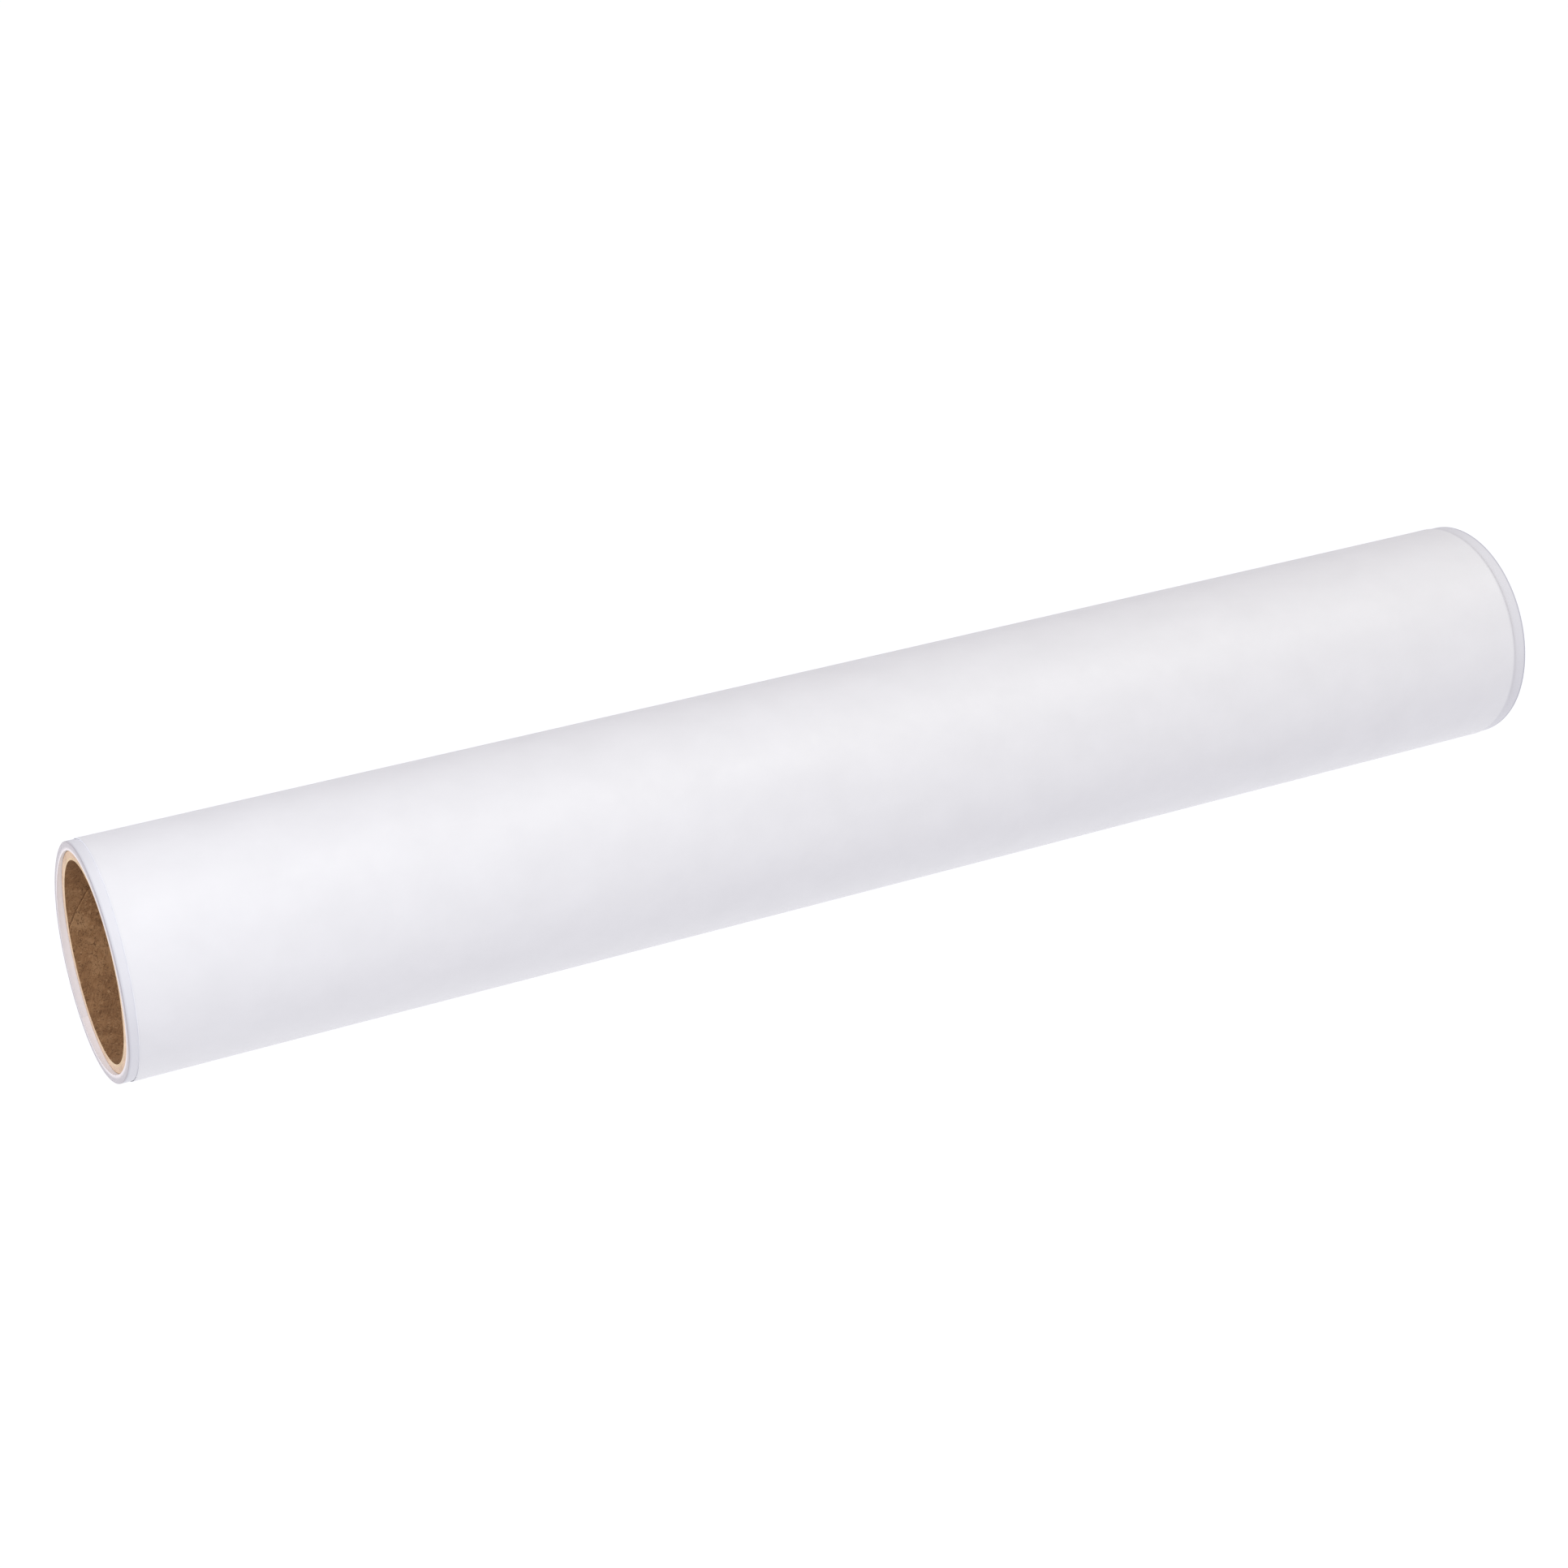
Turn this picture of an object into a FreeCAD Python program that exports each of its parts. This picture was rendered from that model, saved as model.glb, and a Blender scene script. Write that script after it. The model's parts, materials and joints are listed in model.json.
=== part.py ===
"""Backdrop paper roll: white paper wound on a spiral-wound cardboard core.

Every sub-part is a turned strip: a rectangle in its body's XY plane, revolved about X.

Frame (millimetres): X runs along the roll, +Z is up, and the origin is on the core's axis at
mid-length.  Angles round the roll turn about +X: the back (+Y) is 0, the top 90, the front (-Y)
180 and the underside 270.  The outer sheet comes up from its free edge at the underside, round
the front and over the top to the back.  Its last stretch, the leader, curls from the back down
to the free edge, as a chain of panels that straighten until the leader hangs down.
"""
import FreeCAD, Part
import os
import Sketcher

# The driving dimensions: name, value and meaning.  Lengths in millimetres, angles in degrees.
DIMENSIONS = [
    ("roll_length", 610.0, "width of the paper, and length of the core"),
    ("bore_radius", 38.1, "half of the 3 inch bore of the core"),
    ("inner_liner_caliper", 0.45, "kraft ply that lines the bore"),
    ("board_ply_caliper", 0.56, "each board ply of the core"),
    ("outer_liner_caliper", 0.45, "smooth ply outside the core"),
    ("web_build", 3.6, "all the closed turns of the backdrop paper"),
    ("sheet_slack", 0.3, "air between the windings and the leader"),
    ("sheet_caliper", 0.2, "thickness of the outer sheet"),
    ("sheet_margin", 6.0, "from the roll's end to the outer sheet's cut edge"),
    ("leader_root_angle", 360.0, "where the leader hangs from the roll"),
    ("panel_angle", 24.0, "arc of one leader panel"),
    ("panel_slit", 0.1, "gap between one panel and the next, along the arc"),
    ("free_edge_gap", 0.6, "gap between the free edge and the start of the outer sheet"),
    ("tape_caliper", 0.2, "thickness of the starter tape"),
    ("tape_width", 25.0, "width of the starter tape, round the core"),
    ("tape_margin", 10.0, "from the core's end to the end of the starter tape"),
    ("tape_angle", 60.0, "where the starter tape begins"),
]
BOARD_PLIES = 5
LEADER_PANELS = 4

SHEET_NAME = "Dimensions"
FULL_TURN = "360"
LEAST_VOLUME = 1.0


def cell(name):
    """A driving dimension, as an expression."""
    return f"{SHEET_NAME}.{name}"


def arc_angle(arc_length, radius):
    """The angle in degrees, as an expression, of an arc of this length at this radius."""
    return f"(({arc_length}) / ({radius}) * 180 / pi)"


BOARD_RADIUS = f"{cell('bore_radius')} + {cell('inner_liner_caliper')}"
OUTER_LINER_RADIUS = f"{BOARD_RADIUS} + {BOARD_PLIES} * {cell('board_ply_caliper')}"
CORE_RADIUS = f"{OUTER_LINER_RADIUS} + {cell('outer_liner_caliper')}"
WINDINGS_RADIUS = f"{CORE_RADIUS} + {cell('web_build')}"
LEADER_RADIUS = f"{WINDINGS_RADIUS} + {cell('sheet_slack')}"
ROLL_RADIUS = f"{LEADER_RADIUS} + {cell('sheet_caliper')}"

FULL_LENGTH = cell("roll_length")
SHEET_LENGTH = f"{cell('roll_length')} - 2 * {cell('sheet_margin')}"
TAPE_LENGTH = f"{cell('roll_length')} - 2 * {cell('tape_margin')}"
TAPE_SWEEP = arc_angle(cell("tape_width"), CORE_RADIUS)
SLIT_ANGLE = arc_angle(cell("panel_slit"), ROLL_RADIUS)
FREE_EDGE_ANGLE = arc_angle(cell("free_edge_gap"), ROLL_RADIUS)


def add_dimension_sheet(doc):
    """The spreadsheet: one row, and one aliased cell, for each driving dimension."""
    sheet = doc.addObject("Spreadsheet::Sheet", SHEET_NAME)
    for row, (name, value, meaning) in enumerate(DIMENSIONS, start=1):
        sheet.set(f"A{row}", name)
        sheet.set(f"B{row}", str(value))
        sheet.set(f"C{row}", meaning)
        sheet.setAlias(f"B{row}", name)


def origin_plane(body, role):
    return next(item for item in body.Origin.OriginFeatures if item.Role == role)


def add_strip_sketch(body, name, inner_radius, thickness, length):
    """A rectangle in the XY plane: length along X about the middle, thickness up from inner_radius."""
    sketch = body.newObject("Sketcher::SketchObject", name)
    sketch.AttachmentSupport = (origin_plane(body, "XY_Plane"), "")
    sketch.MapMode = "FlatFace"

    half, foot, top = 50.0, 40.0, 45.0
    corners = [(-half, foot), (half, foot), (half, top), (-half, top)]
    points = [FreeCAD.Vector(along, out, 0) for along, out in corners]
    sides = len(points)
    bottom_side, right_side, top_side, left_side = range(sides)
    for side in range(sides):
        sketch.addGeometry(Part.LineSegment(points[side], points[(side + 1) % sides]), False)

    start, end = 1, 2
    x_axis, y_axis = -1, -2

    def constrain(*details):
        return sketch.addConstraint(Sketcher.Constraint(*details))

    def constrain_to(expression, *details):
        index = constrain(*details)
        sketch.setExpression(f"Constraints[{index}]", f"({expression}) * 1 mm")

    for side in range(sides):
        constrain("Coincident", side, end, (side + 1) % sides, start)
    constrain("Symmetric", bottom_side, start, bottom_side, end, y_axis)
    constrain("Horizontal", top_side)
    for side in (right_side, left_side):
        constrain("Vertical", side)
    constrain_to(length, "DistanceX", bottom_side, start, bottom_side, end, 2 * half)
    constrain_to(inner_radius, "DistanceY", x_axis, start, bottom_side, start, foot)
    constrain_to(thickness, "DistanceY", right_side, start, right_side, end, top - foot)
    return sketch


def revolve(body, kind, name, sketch, sweep):
    """Turn a sketch about X, through sweep degrees: a Revolution adds, a Groove cuts."""
    feature = body.newObject(f"PartDesign::{kind}", name)
    feature.Profile = sketch
    feature.ReferenceAxis = (sketch, ["H_Axis"])
    feature.setExpression("Angle", f"({sweep}) * 1 deg")
    return feature


def add_strip(doc, label, inner_radius, thickness, length=FULL_LENGTH, sweep=FULL_TURN, start=None):
    """One sub-part: a strip of this thickness that bends round the roll from the start angle."""
    body = doc.addObject("PartDesign::Body", label)
    body.Label = label
    sketch = add_strip_sketch(body, f"{label}_section", inner_radius, thickness, length)
    body.Tip = revolve(body, "Revolution", f"{label}_turned", sketch, sweep)
    if start is not None:
        body.Placement = FreeCAD.Placement(FreeCAD.Vector(), FreeCAD.Vector(1, 0, 0), 1.0)
        body.setExpression(".Placement.Rotation.Angle", f"({start}) * 1 deg")
    return body


def add_core(doc):
    """The spiral-wound core, from the bore outwards: kraft liner, board plies, outer liner."""
    plies = [add_strip(doc, "core_inner_liner", cell("bore_radius"), cell("inner_liner_caliper"))]
    for number in range(BOARD_PLIES):
        radius = f"{BOARD_RADIUS} + {number} * {cell('board_ply_caliper')}"
        plies.append(add_strip(doc, f"core_board_ply_{number + 1}", radius, cell("board_ply_caliper")))
    plies.append(add_strip(doc, "core_outer_liner", OUTER_LINER_RADIUS, cell("outer_liner_caliper")))
    return plies


def add_starter_tape(doc):
    """The tape along the core that holds the first turn of paper."""
    tape = add_strip(doc, "starter_tape", CORE_RADIUS, cell("tape_caliper"), TAPE_LENGTH,
                     TAPE_SWEEP, cell("tape_angle"))
    return [tape]


def add_windings(doc):
    """The closed turns of the backdrop paper, which lie on the core and over the starter tape."""
    windings = add_strip(doc, "paper_windings", CORE_RADIUS, cell("web_build"),
                         start=cell("tape_angle"))
    recess = add_strip_sketch(windings, "tape_recess_section", CORE_RADIUS, cell("tape_caliper"),
                              TAPE_LENGTH)
    windings.Tip = revolve(windings, "Groove", "tape_recess", recess, TAPE_SWEEP)
    return [windings]


def add_outer_sheet(doc):
    """The held stretch of the outer sheet, with the slack that it takes up drawn as part of it."""
    thickness = f"{cell('sheet_slack')} + {cell('sheet_caliper')}"
    start = f"{cell('leader_root_angle')} + {SLIT_ANGLE} / 2"
    sweep = (f"{FULL_TURN} - {LEADER_PANELS} * {cell('panel_angle')} - {SLIT_ANGLE} / 2"
             f" - {FREE_EDGE_ANGLE}")
    return [add_strip(doc, "outer_sheet", WINDINGS_RADIUS, thickness, SHEET_LENGTH, sweep, start)]


def add_leader(doc):
    """The leader's panels, from the back of the roll down to the free edge."""
    panels = []
    for number in range(1, LEADER_PANELS + 1):
        start = (f"{cell('leader_root_angle')} - {number} * {cell('panel_angle')}"
                 f" + {SLIT_ANGLE} / 2")
        sweep = f"{cell('panel_angle')} - {SLIT_ANGLE}"
        panels.append(add_strip(doc, f"leader_panel_{number}", LEADER_RADIUS,
                                cell("sheet_caliper"), SHEET_LENGTH, sweep, start))
    return panels


def check_and_export(doc, parts):
    """Stop on any failed feature or bad solid, then write each sub-part to its own STEP file."""
    for item in doc.Objects:
        if "Invalid" in item.State or "Error" in item.State:
            raise RuntimeError(f"{item.Label} failed: {item.State}")
    for part in parts:
        shape = part.Shape
        if shape.isNull() or not shape.isValid() or shape.Volume < LEAST_VOLUME:
            raise RuntimeError(f"{part.Label} has no valid solid")
    os.makedirs("parts", exist_ok=True)
    for part in parts:
        part.Shape.exportStep(f"parts/{part.Label}.step")
        box = part.Shape.BoundBox
        print(f"{part.Label}: {part.Shape.Volume:.1f} mm3, {len(part.Shape.Solids)} solid, "
              f"Y {box.YMin:.2f} to {box.YMax:.2f}, Z {box.ZMin:.2f} to {box.ZMax:.2f}")


def main():
    doc = FreeCAD.newDocument("backdrop_paper_roll")
    add_dimension_sheet(doc)
    doc.recompute()
    parts = []
    for section in (add_core, add_starter_tape, add_windings, add_outer_sheet, add_leader):
        parts += section(doc)
    doc.recompute()
    check_and_export(doc, parts)


main()
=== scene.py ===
"""Looks for the backdrop paper roll: white paper on a spiral-wound cardboard core.

Lengths are in metres and angles in radians unless a name says otherwise.  Angles round the roll
turn about +X, from the back (+Y) at 0, over the top, to the front (-Y).  The sheet is wound so
that it runs outwards as this angle falls.
"""
import json
import math
import random

import bmesh
import bpy
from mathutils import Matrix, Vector, noise


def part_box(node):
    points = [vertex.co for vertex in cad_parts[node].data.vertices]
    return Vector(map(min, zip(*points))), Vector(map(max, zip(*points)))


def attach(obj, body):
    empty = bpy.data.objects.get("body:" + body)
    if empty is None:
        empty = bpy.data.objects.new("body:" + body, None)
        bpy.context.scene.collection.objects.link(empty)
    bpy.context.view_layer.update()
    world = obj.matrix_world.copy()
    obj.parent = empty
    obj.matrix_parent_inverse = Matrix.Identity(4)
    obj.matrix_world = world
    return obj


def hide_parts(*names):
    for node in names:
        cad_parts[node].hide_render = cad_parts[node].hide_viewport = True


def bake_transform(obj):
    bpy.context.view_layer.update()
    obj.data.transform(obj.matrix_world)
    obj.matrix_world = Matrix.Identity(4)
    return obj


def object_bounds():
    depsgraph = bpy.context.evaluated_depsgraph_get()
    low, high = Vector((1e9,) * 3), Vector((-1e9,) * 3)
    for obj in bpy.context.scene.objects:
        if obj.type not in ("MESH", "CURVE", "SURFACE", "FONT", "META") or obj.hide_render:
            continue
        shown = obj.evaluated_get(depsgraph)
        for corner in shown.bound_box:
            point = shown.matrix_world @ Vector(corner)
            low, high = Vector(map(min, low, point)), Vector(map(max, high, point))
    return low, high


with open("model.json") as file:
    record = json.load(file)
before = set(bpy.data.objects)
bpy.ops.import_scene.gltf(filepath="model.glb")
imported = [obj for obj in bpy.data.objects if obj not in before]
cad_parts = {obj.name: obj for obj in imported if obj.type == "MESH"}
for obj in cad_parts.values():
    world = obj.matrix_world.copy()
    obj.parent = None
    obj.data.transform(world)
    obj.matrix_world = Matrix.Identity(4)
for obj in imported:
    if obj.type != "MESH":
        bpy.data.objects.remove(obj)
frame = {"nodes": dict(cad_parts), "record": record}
cad_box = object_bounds()

MM = 0.001
TURN = 2 * math.pi

# ---------------------------------------------------------------- sizes, read from the frame

RECORD = frame["record"]
BORE_RADIUS = next(m for m in RECORD["mounts"] if m["name"] == "core_bore")["dims"]["r_mm"] * MM
PLY_NODES = ["core_inner_liner", *(f"core_board_ply_{n}" for n in range(1, 6)), "core_outer_liner"]
PANEL_NODES = [f"leader_panel_{n}" for n in range(1, 5)]
JOINTS = RECORD["behaviour"]["joints"]
PANEL_ANGLE = math.radians(JOINTS[0]["range_deg"][1])


def outer_radius(node):
    """The radius of a round node, from its box: the largest reach from the axis."""
    low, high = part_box(node)
    return max(high[2], high[1], -low[1], -low[2])


LEFT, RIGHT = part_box("paper_windings")[0][0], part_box("paper_windings")[1][0]
SHEET_LEFT, SHEET_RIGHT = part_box("outer_sheet")[0][0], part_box("outer_sheet")[1][0]
SHEET_WIDTH = SHEET_RIGHT - SHEET_LEFT
CORE_RADIUS = outer_radius("core_outer_liner")
WINDINGS_RADIUS = outer_radius("paper_windings")
ROLL_RADIUS = outer_radius("outer_sheet")

# The paper was wound a little askew.  At the left end its edge stands proud of the core at the
# lower back and sinks level with it over the front.  The right end leans the same way.
SKEW = 2.5 * MM
SKEW_ANGLE = math.radians(308)
CORE_INSET = 2.45 * MM

# Each end is also a little off square.  These are the slants, and the angles where they are 0.
LEFT_PROUD_ANGLE = math.radians(250)
RIGHT_PROUD_ANGLE = math.radians(150)
CORE_SLANT = 0.8 * MM
SHEET_LEFT_SLANT = 0.7 * MM
SHEET_RIGHT_SLANT = 2.2 * MM
WINDINGS_RIGHT_SLANT = 2.0 * MM


def on_roll(x, radius, angle):
    return (x, radius * math.cos(angle), radius * math.sin(angle))


def ease(value, low, high):
    """0 below low, 1 above high, and a smooth rise between."""
    share = min(max((value - low) / (high - low), 0.0), 1.0)
    return share * share * (3 - 2 * share)


def slant(angle, size, proud_angle):
    """How far an end cut a little off square stands in: nothing at one angle, most opposite."""
    return size * (1 - math.cos(angle - proud_angle)) / 2


def skew_at(angle):
    """How far the paper's left edge stands in from the roll's left end, round the roll."""
    return SKEW * ease((1 - math.cos(angle - SKEW_ANGLE)) / 2, -0.1, 0.7)


def drift(along, seed):
    """Smooth noise from -1 to 1 along one number."""
    return noise.noise(Vector((along, seed * 7.31, seed * 3.17)))


def round_drift(angle, seed, scale):
    """Smooth noise round the roll, which meets itself after a full turn."""
    return noise.noise(Vector((math.cos(angle) * scale, math.sin(angle) * scale, seed * 5.77)))


# ---------------------------------------------------------------- meshes

SHARP_ANGLE = math.radians(40)


def make_piece(name, vertices, faces, uvs, material):
    """A smooth-shaded mesh with one UV layer, in metres along and round the roll."""
    mesh = bpy.data.meshes.new(name)
    mesh.from_pydata(vertices, [], faces)
    layer = mesh.uv_layers.new(name="UVMap")
    for loop in mesh.loops:
        layer.data[loop.index].uv = uvs[loop.vertex_index]
    mesh.validate()
    mesh.update()
    piece = bpy.data.objects.new(name, mesh)
    bpy.context.scene.collection.objects.link(piece)
    mesh.materials.append(material)
    mesh.shade_smooth()
    mesh.set_sharp_from_angle(angle=SHARP_ANGLE)
    return piece


def band_faces(columns, count, closed):
    """Quads between neighbouring columns, each of which is a loop of count vertices."""
    faces = []
    for column in range(columns if closed else columns - 1):
        here, there = column * count, (column + 1) % columns * count
        for point in range(count):
            after = (point + 1) % count
            faces.append((here + point, here + after, there + after, there + point))
    return faces


def sweep(name, angles, section_at, material, slot, closed=False, capped=True):
    """Sweeps a closed section, a list of (x, radius) pairs, round the roll at these angles.

    Its UVs run from the left edge to the right one, so that the painted edge shade follows a
    slanted edge."""
    vertices, uvs = [], []
    width = SHEET_WIDTH if slot == "outer_paper" else RIGHT - LEFT
    for angle in angles:
        section = section_at(angle)
        left, right = min(x for x, _ in section), max(x for x, _ in section)
        for x, radius in section:
            vertices.append(on_roll(x, radius, angle))
            uvs.append(((x - left) / (right - left) * width, angle * radius))
    columns = len(angles)
    count = len(vertices) // columns
    faces = band_faces(columns, count, closed)
    if not closed and capped:
        last = (columns - 1) * count
        faces.append(tuple(reversed(range(count))))
        faces.append(tuple(range(last, last + count)))
    return make_piece(name, vertices, faces, uvs, material)


def evenly(start, end, steps):
    return [start + (end - start) * step / steps for step in range(steps + 1)]


def strip_section(left, right, inner, outer, stations, corner):
    """The cut through one sheet: along the inside, round the right edge, back along the outside.

    inner and outer give the radius at each x, and the edges are rounded by corner."""
    inside = [(x, inner(x)) for x in evenly(left + corner, right - corner, stations)]
    outside = [(x, outer(x)) for x in reversed(evenly(left + corner, right - corner, stations))]
    right_edge = [(right, inner(right) + corner), (right, outer(right) - corner)]
    left_edge = [(left, outer(left) - corner), (left, inner(left) + corner)]
    return inside + right_edge + outside + left_edge


# ---------------------------------------------------------------- materials

# Painted shade for the cut edges of the paper, standing in for the dark line where a rounded edge
# turns from the light.
EDGE_SHADE_GREY = (0.45, 0.45, 0.505)
# Painted shade on the cut end of the wound stack, which is the same paper as its faces.
STACK_SHADE_GREY = (0.385, 0.355, 0.365)
# A painted highlight on the stack's end by the core, where the paper's inner lip catches the
# light.
LIP_HIGHLIGHT_GREY = (0.56, 0.51, 0.51)

# The web carries painted shade, for the dark line of a rounded edge: in full this close to its cut
# edges, and none beyond the last width below.
LEFT_FULL_SHADE = 0.1 * MM
RIGHT_FULL_SHADE = 0.2 * MM
EDGE_SHADE_WIDTH = 0.9 * MM


class Shader:
    """Builds one material's node tree, with short calls for the nodes that it needs."""

    def __init__(self, name):
        self.material = bpy.data.materials.new(name)
        self.material.use_nodes = True
        self.tree = self.material.node_tree
        self.surface = self.tree.nodes["Principled BSDF"]

    def add(self, kind, inputs=None, **settings):
        node = self.tree.nodes.new(kind)
        for key, value in settings.items():
            setattr(node, key, value)
        for socket, value in (inputs or {}).items():
            if isinstance(value, bpy.types.NodeSocket):
                self.tree.links.new(value, node.inputs[socket])
            else:
                node.inputs[socket].default_value = value
        return node

    def uv(self, along=1.0, around=1.0):
        """UV coordinates in metres, stretched along the roll and round it."""
        source = self.add("ShaderNodeUVMap", uv_map="UVMap")
        return self.add("ShaderNodeMapping", {"Vector": source.outputs[0],
                                              "Scale": (along, around, 1.0)}).outputs[0]

    def place(self):
        return self.add("ShaderNodeTexCoord").outputs["Object"]

    def noise(self, vector, scale, detail, rough=0.5, distortion=0.0):
        node = self.add("ShaderNodeTexNoise", {"Vector": vector, "Scale": scale, "Detail": detail,
                                               "Roughness": rough, "Distortion": distortion})
        return node.outputs["Fac"]

    def ramp(self, value, stops):
        """A colour ramp with these (position, colour) stops."""
        node = self.add("ShaderNodeValToRGB", {"Fac": value})
        elements = node.color_ramp.elements
        while len(elements) < len(stops):
            elements.new(0.5)
        for element, (position, colour) in zip(elements, stops):
            element.position = position
            element.color = (*colour, 1.0)
        return node.outputs["Color"]

    def mix(self, share, first, second):
        node = self.add("ShaderNodeMix", data_type="RGBA")
        for socket, value in zip((node.inputs[0], node.inputs[6], node.inputs[7]),
                                 (share, first, second)):
            if isinstance(value, bpy.types.NodeSocket):
                self.tree.links.new(value, socket)
            else:
                socket.default_value = value if socket is node.inputs[0] else (*value, 1.0)
        return node.outputs[2]

    def spread(self, value, low, high, new_low, new_high):
        node = self.add("ShaderNodeMapRange", {"Value": value, "From Min": low, "From Max": high,
                                               "To Min": new_low, "To Max": new_high})
        return node.outputs[0]

    def bump(self, height, distance, strength, normal=None):
        inputs = {"Height": height, "Distance": distance, "Strength": strength}
        if normal is not None:
            inputs["Normal"] = normal
        return self.add("ShaderNodeBump", inputs).outputs[0]

    def split(self, vector, axis):
        return self.add("ShaderNodeSeparateXYZ", {"Vector": vector}).outputs[axis]

    def end_grain(self):
        """1 where the surface faces along the roll, as a sawn end does, and 0 elsewhere."""
        along = self.split(self.add("ShaderNodeTexCoord").outputs["Normal"], "X")
        size = self.add("ShaderNodeMath", {0: along}, operation="ABSOLUTE").outputs[0]
        return self.spread(size, 0.6, 0.9, 0.0, 1.0)

    def from_axis(self):
        """0 at the core's outside, rising to 1 at the roll's outside."""
        across = self.add("ShaderNodeMapping", {"Vector": self.place(), "Scale": (0.0, 1.0, 1.0)})
        reach = self.add("ShaderNodeVectorMath", {0: across.outputs[0]}, operation="LENGTH")
        return self.spread(reach.outputs["Value"], CORE_RADIUS, ROLL_RADIUS, 0.0, 1.0)

    def finish(self, colour, roughness, normal, specular):
        links = self.tree.links
        links.new(colour, self.surface.inputs["Base Color"])
        links.new(roughness, self.surface.inputs["Roughness"])
        links.new(normal, self.surface.inputs["Normal"])
        self.surface.inputs["Specular IOR Level"].default_value = specular
        return self.material


def paper(name, shade, roughness, width, edge_shade_strength, inside=None):
    """Smooth white paper: cloudy formation, fine fibres across the web, and a soft tooth.

    width is the web's, in metres.  Its right edge carries painted shade, for the dark line of a
    rounded edge, as strongly as the argument after width says, and its left edge half as much.
    inside is for a wound stack, whose cut end gets painted shade, with a painted highlight on its
    lip by the core: it is the colour of the innermost turn's faces, painted lighter and pinker for
    the light and bounce from the core that reach them."""
    make = Shader(name)
    flat = make.uv()
    drawn = make.uv(along=0.3, around=1.0)
    clouds = make.noise(flat, 55.0, 4.0, 0.55)
    fibres = make.noise(drawn, 2600.0, 2.0, 0.6, 0.4)
    bands = make.noise(make.uv(along=0.04, around=1.0), 38.0, 2.0)

    low = tuple(value * 0.965 for value in shade)
    clouded = make.ramp(clouds, [(0.3, low), (0.7, shade)])
    darker = tuple(value * 0.95 for value in shade)
    fibred = make.mix(make.spread(fibres, 0.55, 0.8, 0.0, 0.35), clouded, darker)
    banded = make.mix(make.spread(bands, 0.35, 0.7, 0.0, 0.12), fibred, darker)

    along = make.split(flat, "X")
    # Painted shade along both cut edges of the web, for the dark line of a rounded edge.
    edge_shade = make.ramp(clouds, [(0.3, EDGE_SHADE_GREY), (0.7, tuple(1.12 * c for c in EDGE_SHADE_GREY))])
    near_left = make.spread(along, LEFT_FULL_SHADE, EDGE_SHADE_WIDTH, edge_shade_strength / 2, 0.0)
    near_right = make.spread(along, width - EDGE_SHADE_WIDTH, width - RIGHT_FULL_SHADE, 0.0, edge_shade_strength)
    colour = make.mix(near_right, make.mix(near_left, banded, edge_shade), edge_shade)
    if inside is not None:
        # The stack's cut end: a painted highlight on the lip by the core, and painted shade
        # further out.
        reach = make.from_axis()
        end_light_and_shade = make.ramp(reach, [(0.0, LIP_HIGHLIGHT_GREY), (0.14, LIP_HIGHLIGHT_GREY), (0.38, STACK_SHADE_GREY)])
        # The innermost turn is painted lighter and pinker, as painted light and bounce from the
        # core.
        lit_inner_turn = make.mix(make.spread(reach, 0.02, 0.1, 1.0, 0.0), colour, inside)
        # The web's left rim takes the end's painted shade as well.
        shaded_left_rim = make.mix(make.spread(along, 0.03 * MM, 0.1 * MM, 1.0, 0.0), lit_inner_turn, end_light_and_shade)
        colour = make.mix(make.end_grain(), shaded_left_rim, end_light_and_shade)

    gloss = make.spread(make.noise(flat, 240.0, 3.0), 0.3, 0.7,
                        roughness - 0.05, roughness + 0.06)
    tooth = make.bump(make.noise(flat, 3800.0, 3.0, 0.65), 0.012 * MM, 0.5)
    waves = make.noise(make.uv(along=0.5, around=1.0), 70.0, 2.0)
    cockle = make.bump(waves, 0.06 * MM, 0.35, tooth)
    return make.finish(colour, gloss, cockle, specular=0.35)


def cardboard(name, dark, middle, light, fleck=0.4, veins=0.3, cut=None):
    """Pulp board: blotches, wandering fibres, dark flecks and a rough, dry surface.

    cut is the paler colour of a sawn edge, for a board whose faces are darker than its pulp."""
    make = Shader(name)
    where = make.place()
    blotches = make.noise(where, 90.0, 5.0, 0.6, 0.6)
    coarse = make.noise(make.uv(along=0.35, around=1.0), 900.0, 4.0, 0.7, 0.8)
    across = make.noise(make.uv(along=1.0, around=0.3), 1300.0, 3.0, 0.7, 0.5)
    flecks = make.noise(where, 1500.0, 2.0, 0.8)

    base = make.ramp(blotches, [(0.3, dark), (0.5, middle), (0.72, light)])
    fibred = make.mix(make.spread(coarse, 0.42, 0.7, 0.0, 0.5), base, light)
    crossed = make.mix(make.spread(across, 0.5, 0.75, 0.0, 0.45), fibred, dark)
    flecked = make.mix(make.spread(flecks, 0.62, 0.75, 0.0, fleck), crossed, dark)
    worms = make.noise(where, 300.0, 2.0, 0.6, 2.2)
    none, full = (0, 0, 0), (veins, veins, veins)
    thread = make.ramp(worms, [(0.47, none), (0.5, full), (0.53, none)])
    veined = make.mix(thread, flecked, tuple(0.4 * value for value in dark))
    specks = make.spread(make.noise(where, 650.0, 1.0), 0.66, 0.74, 0.0, 0.7)
    colour = make.mix(specks, veined, light)
    if cut is not None:
        sawn = make.end_grain()
        pulp = make.mix(coarse, tuple(0.85 * c for c in cut), cut)
        colour = make.mix(sawn, colour, pulp)

    gloss = make.spread(blotches, 0.3, 0.7, 0.78, 0.92)
    rough = make.bump(coarse, 0.06 * MM, 0.6)
    rougher = make.bump(flecks, 0.05 * MM, 0.5, rough)
    return make.finish(colour, gloss, rougher, specular=0.25)


# The number after each paper's width is the strength of its painted edge shade.
OUTER_PAPER = paper("satin_white_paper", (0.805, 0.80, 0.815), 0.5, SHEET_WIDTH, edge_shade_strength=0.25)
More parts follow.
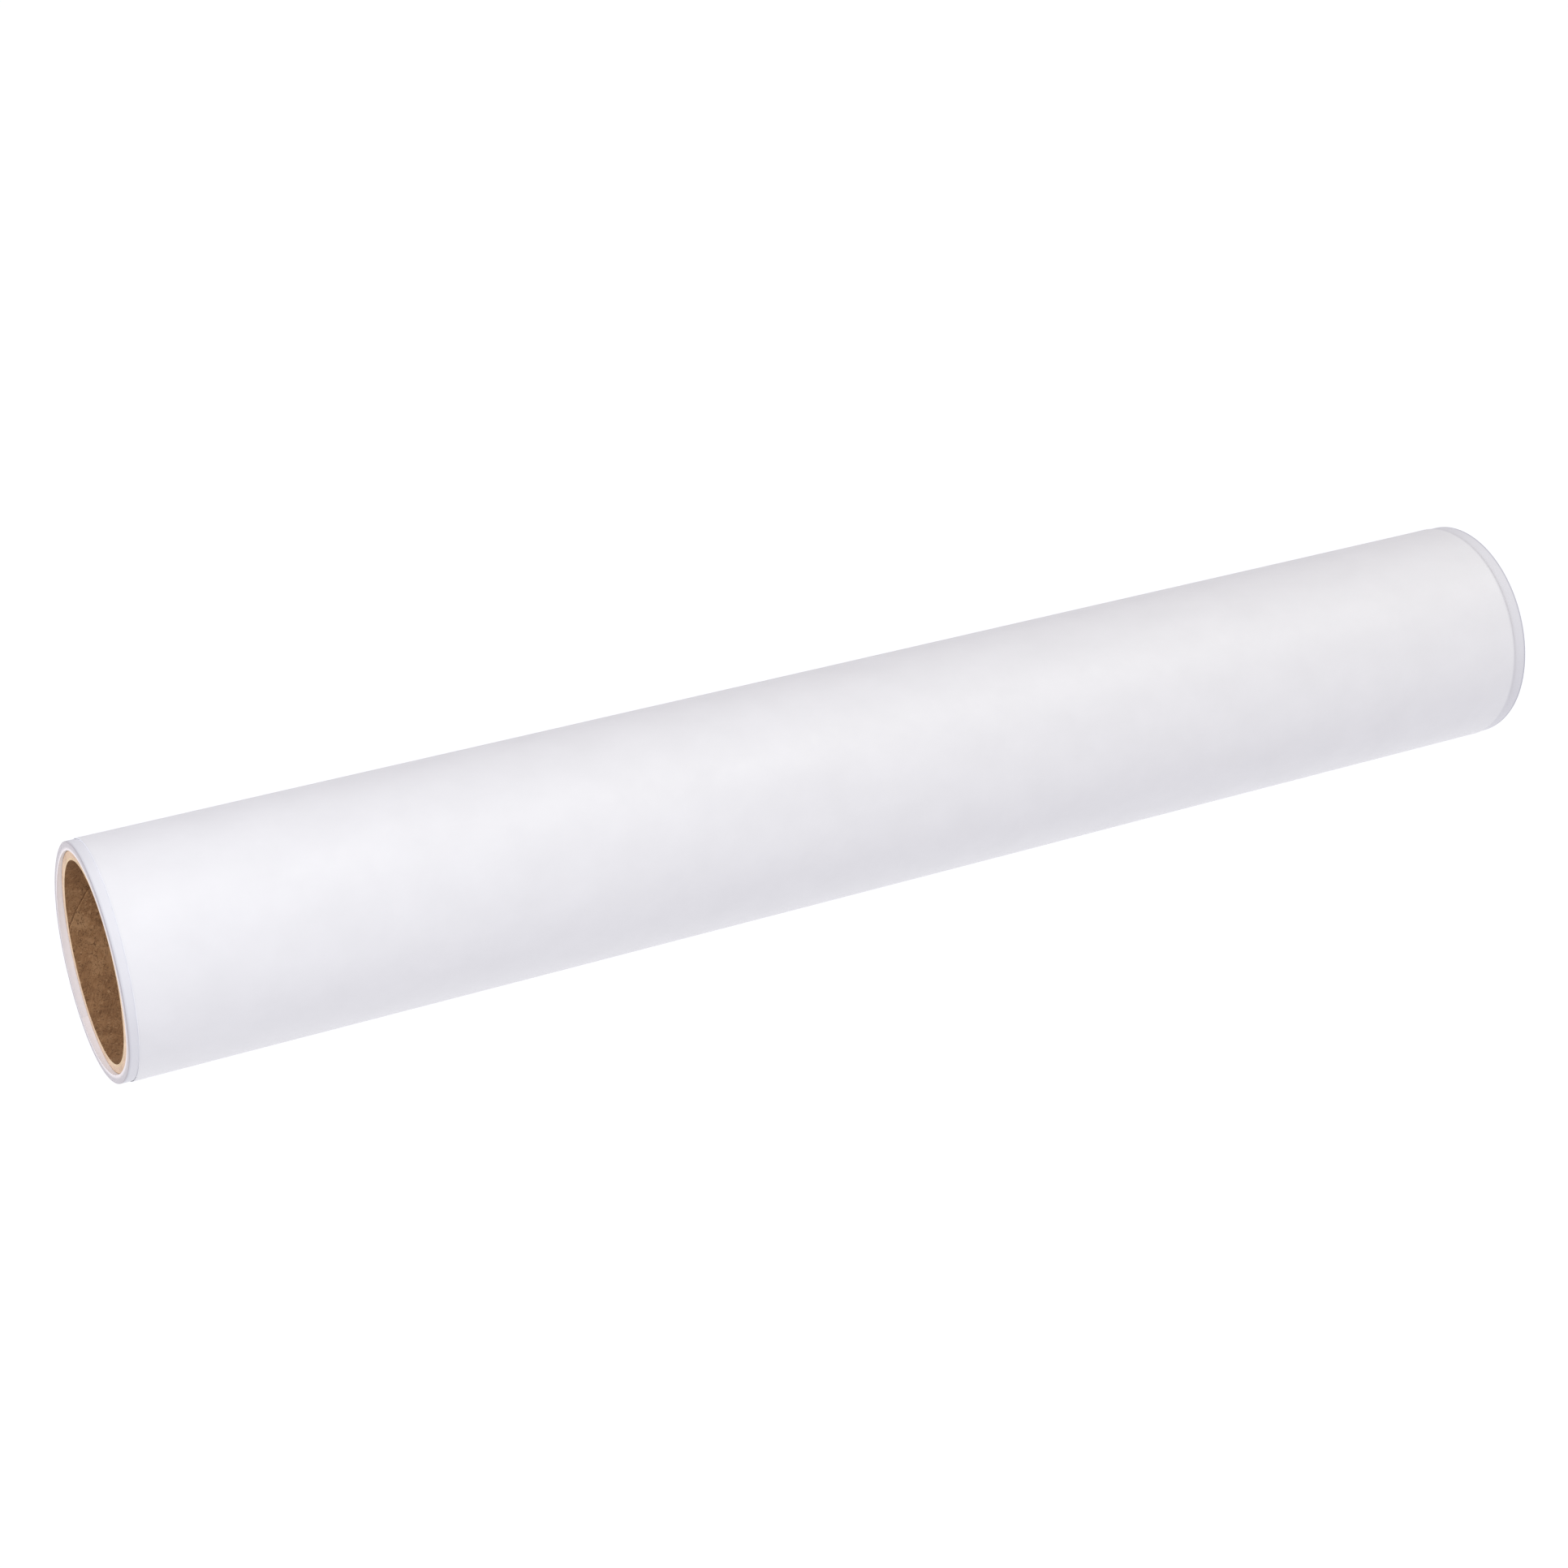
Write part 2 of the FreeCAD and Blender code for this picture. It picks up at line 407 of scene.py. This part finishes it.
# The backdrop paper's last colour is its innermost turn, painted lighter and pinker as painted
# light.
BACKDROP_PAPER = paper("matt_white_paper", (0.738, 0.734, 0.766), 0.62, RIGHT - LEFT, edge_shade_strength=0.9,
                       inside=(0.86, 0.825, 0.83))
KRAFT = cardboard("brown_kraft", (0.175, 0.08, 0.032), (0.325, 0.168, 0.073), (0.49, 0.285, 0.14),
                  veins=0.8, cut=(0.53, 0.385, 0.25))
PALE_BOARD = cardboard("cream_board", (0.40, 0.285, 0.18), (0.505, 0.375, 0.245),
                       (0.59, 0.455, 0.31), fleck=0.2)
BOARD = cardboard("tan_board", (0.36, 0.245, 0.17), (0.47, 0.335, 0.24), (0.57, 0.425, 0.315),
                  fleck=0.3)
LINER = cardboard("brown_liner", (0.25, 0.155, 0.095), (0.35, 0.23, 0.15), (0.45, 0.315, 0.215),
                  fleck=0.3)
TAPE = paper("tissue_tape", (0.74, 0.70, 0.58), 0.6, RIGHT - LEFT, edge_shade_strength=0.0)

# ---------------------------------------------------------------- the core

CORE_RIGHT = RIGHT - 0.4 * MM
RIGHT_END_SEED = 20
PAPER_GAP = 0.05 * MM
PLY_GAP = 0.012 * MM
PLY_CORNER = 0.07 * MM
PLY_COLUMNS = 288
PLY_STATIONS = 2

# The bore liner's lapped seam, which runs in a helix.
SEAM_PITCH = 0.149
SEAM_HALF_WIDTHS = [0.15 * MM, 0.35 * MM, 0.8 * MM, 1.6 * MM]
SEAM_DEPTH = 0.16 * MM
SEAM_WIDTH = 0.3 * MM
SEAM_CLEARANCE = 2.4 * MM
LAP_THICKNESS = 0.10 * MM
LAP_START = -0.2 * MM
LAP_END = 9 * MM
LINER_SETBACK = 0.05 * MM
LINER_RIPPLE = 0.03 * MM
LINER_COLUMNS = 160
LINER_ROWS = 150


def core_left(angle):
    return LEFT + CORE_INSET + slant(angle, CORE_SLANT, LEFT_PROUD_ANGLE)


def ply_end(angle, seed):
    """How far a ply's cut edge stands in from the core's end, which the saw left uneven."""
    broad = 0.05 * round_drift(angle, seed, 9.0)
    fine = 0.035 * round_drift(angle, seed + 3, 45.0)
    return (0.09 + broad + fine) * MM


def add_ply(node, inner, outer, number, material, slot):
    over = PAPER_GAP if outer == CORE_RADIUS else PLY_GAP

    def section(angle):
        left = core_left(angle) + ply_end(angle, number)
        right = CORE_RIGHT - ply_end(angle, number + RIGHT_END_SEED)
        return strip_section(left, right, lambda x: inner + PLY_GAP, lambda x: outer - over,
                             PLY_STATIONS, PLY_CORNER)

    angles = [TURN * step / PLY_COLUMNS for step in range(PLY_COLUMNS)]
    ply = sweep(f"{node}_board", angles, section, material, slot, closed=True)
    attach(ply, "roll")
    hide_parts(node)


def add_bore_liner(outer):
    """The kraft ply inside the core: a strip wound in a helix, with its lapped seam."""
    around = [TURN * step / LINER_COLUMNS for step in range(LINER_COLUMNS)]
    offsets = [0.0] + [side * width for width in SEAM_HALF_WIDTHS for side in (-1, 1)]
    seam_angles = sorted({round(offset / BORE_RADIUS % TURN, 6) for offset in offsets})
    closest = SEAM_CLEARANCE / BORE_RADIUS
    plain = [a for a in around if closest < a < TURN - closest]
    columns = sorted(seam_angles + plain)
    rows = evenly(LEFT + CORE_INSET, CORE_RIGHT, LINER_ROWS)

    def end_shift(x, angle):
        """How far a vertex on either cut end moves along the roll."""
        if x == rows[0]:
            return core_left(angle) - x + ply_end(angle, 0)
        return -ply_end(angle, RIGHT_END_SEED) if x == rows[-1] else 0.0

    vertices, uvs = [], []
    for column in columns:
        signed = (column if column < math.pi else column - TURN) * BORE_RADIUS
        groove = math.exp(-(signed / SEAM_WIDTH) ** 2) * SEAM_DEPTH
        lapped = LAP_THICKNESS * (1 - ease(signed, LAP_START, LAP_END))
        lap = lapped if signed > LAP_START else 0.0
        for x in rows:
            angle = column + x / SEAM_PITCH * TURN
            place = Vector((x * 60, math.cos(angle) * 2, math.sin(angle) * 2))
            ripple = LINER_RIPPLE * noise.noise(place)
            radius = BORE_RADIUS + groove + max(LINER_SETBACK - lap, 0) + ripple
            vertices.append(on_roll(x + end_shift(x, angle), radius, angle))
            uvs.append((x, column * BORE_RADIUS))
        for x in (rows[-1], rows[0]):
            angle = column + x / SEAM_PITCH * TURN
            vertices.append(on_roll(x + end_shift(x, angle), outer - PLY_GAP, angle))
            uvs.append((x, column * outer))
    faces = band_faces(len(columns), len(rows) + 2, closed=True)
    liner = make_piece("core_inner_liner_kraft", vertices, faces, uvs, KRAFT)
    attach(liner, "roll")
    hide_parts("core_inner_liner")


PLY_MATERIALS = [PALE_BOARD, BOARD, BOARD, BOARD, BOARD, LINER]
ply_radii = [BORE_RADIUS] + [outer_radius(node) for node in PLY_NODES]
add_bore_liner(ply_radii[1])
for number, node in enumerate(PLY_NODES[1:], start=1):
    slot = "core_liner" if node == PLY_NODES[-1] else "core_board"
    inner, outer = ply_radii[number:number + 2]
    add_ply(node, inner, outer, number, PLY_MATERIALS[number - 1], slot)

# ---------------------------------------------------------------- the backdrop paper

TURNS = 18
TURN_STEPS = 150
TURN_STATIONS = 3
TURN_CORNER = 0.015 * MM
TURN_GAP = 0.01 * MM
TURN_SETBACK = 0.06 * MM
TURN_SHIFT_MM = 0.03
TAIL_ANGLE = math.radians(300)
SHOULDER = 0.22 * MM
SHOULDER_TURNS = 3.0


def add_windings():
    """The backdrop paper: one sheet in a spiral, with the small steps between its turns' edges."""
    pitch = (WINDINGS_RADIUS - CORE_RADIUS) / (TURNS + 1)
    caliper = 0.98 * pitch
    rng = random.Random(11)
    turn_shift = [rng.uniform(-TURN_SHIFT_MM, TURN_SHIFT_MM) * MM for _ in range(TURNS + 2)]

    def section(angle):
        wound = (TAIL_ANGLE - angle) / TURN + TURNS
        turn = min(max(int(wound), 0), TURNS)
        here, there = turn_shift[turn:turn + 2]
        shift = here + (there - here) * ease(wound - turn, 0, 1)
        uneven = TURN_SETBACK + shift + 0.01 * MM * drift(wound * 9.0, 2)
        inner = CORE_RADIUS + pitch * wound + TURN_GAP
        shoulder = SHOULDER * (1 - ease(TURNS - wound, 0.0, SHOULDER_TURNS)) ** 2
        left = LEFT + skew_at(angle) + uneven + shoulder
        right = RIGHT - SKEW + skew_at(angle) - uneven - shoulder
        right -= slant(angle, WINDINGS_RIGHT_SLANT, RIGHT_PROUD_ANGLE)
        return strip_section(left, right, lambda x: inner, lambda x: inner + caliper,
                             TURN_STATIONS, TURN_CORNER)

    first = TAIL_ANGLE + TURN * TURNS
    angles = [first - TURN * step / TURN_STEPS for step in range(TURNS * TURN_STEPS + 1)]
    windings = sweep("wound_paper", angles, section, BACKDROP_PAPER, "backdrop_paper")
    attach(windings, "roll")
    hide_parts("paper_windings")


add_windings()
starter_tape = frame["nodes"]["starter_tape"]
starter_tape.data.materials.clear()
starter_tape.data.materials.append(TAPE)

# ---------------------------------------------------------------- the outer sheet and its leader

SHEET_CALIPER = 0.2 * MM
SHEET_CORNER = 0.04 * MM
SHEET_STATIONS = 110
SHEET_EDGE_SEEDS = (31, 32)
SNUG_GAP = 0.02 * MM
LOOSE_GAP = 0.01 * MM
EDGE_LIFT_MM = 0.06
EDGE_LIFT_REACH = 6 * MM
LEADER_ROOT = TURN
SHEET_LAP = math.radians(10)
HELD_STEPS = 176
STRIP_STEPS = 24
LAST_STRIP_STEPS = 36


def sheet_outside(x, angle, from_root):
    """The outer sheet's outside radius: snug on the windings, and looser towards the leader.

    from_root is the angle from the leader's root, and is below 0 on the leader."""
    snug = WINDINGS_RADIUS + SNUG_GAP + SHEET_CALIPER
    loose = ROLL_RADIUS - LOOSE_GAP
    level = loose + (snug - loose) * ease(from_root, math.radians(12), math.radians(80))
    calm = 1 - 0.85 * ease(-from_root, -math.radians(40), 0.0)
    wave = noise.noise(Vector((x * 9, math.cos(angle) * 1.6, math.sin(angle) * 1.6)))
    ripple = noise.noise(Vector((x * 34, math.cos(angle) * 5, math.sin(angle) * 5)))
    margin = min(x - SHEET_LEFT, SHEET_RIGHT - x)
    lift = EDGE_LIFT_MM * (1 - ease(margin, 0.0, EDGE_LIFT_REACH))
    return min(level + (0.05 * wave + 0.02 * ripple - 0.06) * MM * calm + lift * MM, loose)


def sheet_section(angle, from_root):
    """The cut through the sheet.  Its edges wander very slightly, and are a little off square."""
    wander = [(0.06 + 0.05 * round_drift(angle, seed, 3.0)) * MM for seed in SHEET_EDGE_SEEDS]
    left = SHEET_LEFT + wander[0] + slant(angle, SHEET_LEFT_SLANT, LEFT_PROUD_ANGLE)
    right = SHEET_RIGHT - wander[1] - slant(angle, SHEET_RIGHT_SLANT, RIGHT_PROUD_ANGLE)
    return strip_section(left, right, lambda x: sheet_outside(x, angle, from_root) - SHEET_CALIPER,
                         lambda x: sheet_outside(x, angle, from_root),
                         SHEET_STATIONS, SHEET_CORNER)


def add_outer_sheet():
    """The held stretch, from just past the leader's root to a lap under the free edge."""
    first = PANEL_ANGLE / 2
    last = LEADER_ROOT - len(PANEL_NODES) * PANEL_ANGLE + SHEET_LAP
    sheet = sweep("outer_paper_sheet", evenly(first, last, HELD_STEPS),
                  lambda angle: sheet_section(angle, angle), OUTER_PAPER, "outer_paper")
    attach(sheet, "roll")
    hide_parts("outer_sheet")


def add_leader():
    """The free end of the sheet, in strips that each span one joint.

    A strip runs from the middle of one panel to the middle of the next, so that neighbours meet
    in a panel's middle."""
    for number, joint in enumerate(JOINTS):
        hinge = LEADER_ROOT - number * PANEL_ANGLE
        start = hinge + PANEL_ANGLE / 2
        middle = hinge - PANEL_ANGLE / 2
        is_last = joint is JOINTS[-1]
        end = hinge - PANEL_ANGLE if is_last else middle
        angles = evenly(start, end, LAST_STRIP_STEPS if is_last else STRIP_STEPS)
        strip = sweep(f"leader_strip_{number + 1}", angles,
                      lambda angle: sheet_section(angle, angle - LEADER_ROOT),
                      OUTER_PAPER, "outer_paper", capped=False)
        if is_last:
            close_free_edge(strip, len(angles))
        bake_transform(strip)
        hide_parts(PANEL_NODES[number])


def close_free_edge(strip, columns):
    """Adds the face along the sheet's free edge."""
    mesh = strip.data
    count = len(mesh.vertices) // columns
    grown = bmesh.new()
    grown.from_mesh(mesh)
    grown.verts.ensure_lookup_table()
    last = (columns - 1) * count
    grown.faces.new([grown.verts[last + point] for point in range(count)])
    grown.to_mesh(mesh)
    grown.free()


add_outer_sheet()
add_leader()

# ---------------------------------------------------------------- stage, light and camera

FLOOR_REACH = 60.0
FLOOR_GAP = 0.5 * MM
CAMERA_POSITION = (-0.5023, -0.9872, 0.6372)
CAMERA_DOWN = math.radians(29.96)
CAMERA_HEADING = math.radians(-25.91)
CAMERA_LENS = 73.4
CAMERA_SENSOR = 36.0


def add_floor():
    """A plain floor whose white is almost wholly its own glow, so that it shows no shadow."""
    height = cad_box[0][2] - FLOOR_GAP
    corners = [(-FLOOR_REACH, -FLOOR_REACH, height), (FLOOR_REACH, -FLOOR_REACH, height),
               (FLOOR_REACH, FLOOR_REACH, height), (-FLOOR_REACH, FLOOR_REACH, height)]
    mesh = bpy.data.meshes.new("floor")
    mesh.from_pydata(corners, [], [(0, 1, 2, 3)])
    floor = bpy.data.objects.new("floor", mesh)
    bpy.context.scene.collection.objects.link(floor)
    make = Shader("white_floor")
    make.surface.inputs["Base Color"].default_value = (0.05, 0.05, 0.05, 1.0)
    make.surface.inputs["Roughness"].default_value = 0.9
    make.surface.inputs["Specular IOR Level"].default_value = 0.0
    make.surface.inputs["Emission Color"].default_value = (1.0, 1.0, 1.035, 1.0)
    make.surface.inputs["Emission Strength"].default_value = 0.98
    # Sampled as a lamp, so large a plane leaves faint marks low on the roll's back.
    make.material.cycles.emission_sampling = "NONE"
    mesh.materials.append(make.material)


def add_area_light(name, position, target, width, height, power, colour):
    data = bpy.data.lights.new(name, "AREA")
    data.shape = "RECTANGLE"
    data.size, data.size_y = width, height
    data.energy = power
    data.color = colour
    light = bpy.data.objects.new(name, data)
    light.location = position
    light.rotation_euler = (Vector(target) - Vector(position)).to_track_quat("-Z", "Y").to_euler()
    bpy.context.scene.collection.objects.link(light)


def add_world():
    world = bpy.data.worlds.new("studio")
    bpy.context.scene.world = world
    world.use_nodes = True
    background = world.node_tree.nodes["Background"]
    background.inputs["Color"].default_value = (0.945, 0.89, 1.0, 1.0)
    background.inputs["Strength"].default_value = 0.48


def add_camera():
    """A long lens from the front left, looking down on the open end."""
    data = bpy.data.cameras.new("camera")
    data.lens = CAMERA_LENS
    data.sensor_width = CAMERA_SENSOR
    camera = bpy.data.objects.new("camera", data)
    camera.location = CAMERA_POSITION
    camera.rotation_euler = (math.pi / 2 - CAMERA_DOWN, 0.0, CAMERA_HEADING)
    bpy.context.scene.collection.objects.link(camera)
    bpy.context.scene.camera = camera


add_floor()
add_world()
add_area_light("overhead_softbox", position=(0.8, -0.6, 1.95), target=(0.1, 0.0, 0.0),
               width=1.4, height=0.9, power=19.4, colour=(0.985, 1.0, 0.88))
add_area_light("side_softbox", position=(-1.75, -0.3, 0.55), target=(-0.3, 0.0, 0.0),
               width=0.8, height=0.8, power=29.5, colour=(0.91, 0.96, 1.0))
add_camera()
bpy.context.scene.view_settings.view_transform = "Standard"
